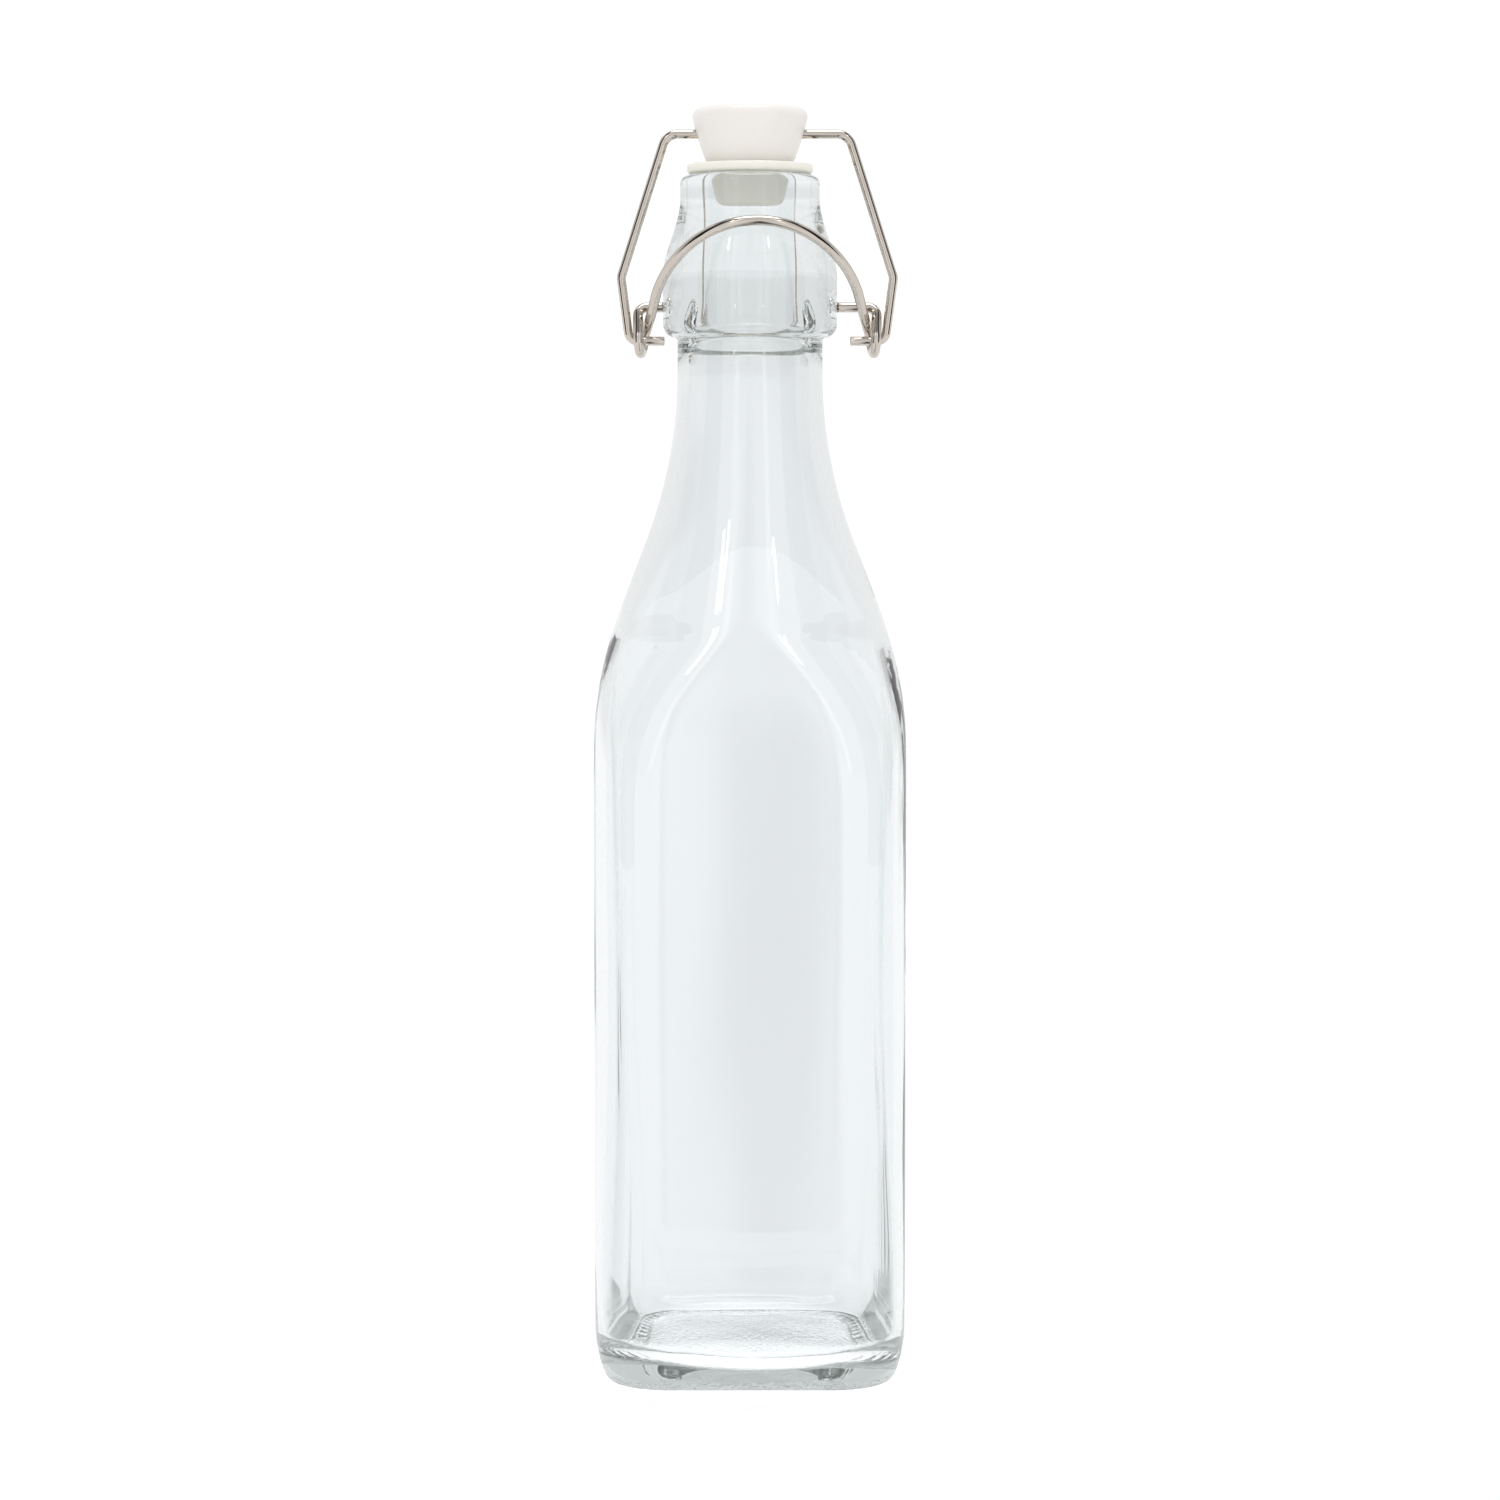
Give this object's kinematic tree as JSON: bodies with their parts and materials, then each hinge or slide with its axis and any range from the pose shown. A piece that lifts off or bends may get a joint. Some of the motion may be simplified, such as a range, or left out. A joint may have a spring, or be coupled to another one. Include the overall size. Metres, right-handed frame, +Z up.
{
  "type": "square swing-top glass bottle",
  "caption": "Tall square clear-glass bottle with a round neck, closed by a white plugged stopper held down by a wire yoke and an over-centre wire lever.",
  "frame": {"origin": "on the ground, in the middle of the base", "axes": "+Z up along the bottle's axis; the front, where the lever's bow lies against the neck, faces -Y; the hinge axes run along X"},
  "size_m": [0.0632, 0.0632, 0.26],
  "materials": {
    "clear_glass": "smooth clear soda-lime glass, faintly green at its thick edges",
    "white_plastic": "opaque warm white, soft sheen",
    "milky_rubber": "translucent milky silicone, satin",
    "bright_wire": "bright drawn steel wire"
  },
  "bodies": {
    "glass": {"bottle": "clear_glass"},
    "lever": {"lever_wire": "bright_wire"},
    "yoke": {"yoke_wire": "bright_wire"},
    "stopper": {"stopper_cap": "white_plastic", "stopper_seal": "milky_rubber"}
  },
  "joints": [
    {"name": "lever_hinge", "type": "hinge", "parent": "glass", "child": "lever", "pos_m": [0, 0, 0.2191], "axis": [1, 0, 0], "range_deg": [0, 90]},
    {"name": "yoke_hinge", "type": "hinge", "parent": "lever", "child": "yoke", "pos_m": [0, -0.001, 0.2122], "axis": [1, 0, 0], "range_deg": [-77, 0]},
    {"name": "stopper_hinge", "type": "hinge", "parent": "yoke", "child": "stopper", "pos_m": [0, 0, 0.2543], "axis": [1, 0, 0], "range_deg": [-13.1, 0]}
  ],
  "couplings": [
    {"joint": "yoke_hinge", "follows": "lever_hinge", "ratio": -0.855},
    {"joint": "stopper_hinge", "follows": "lever_hinge", "ratio": -0.145}
  ]
}
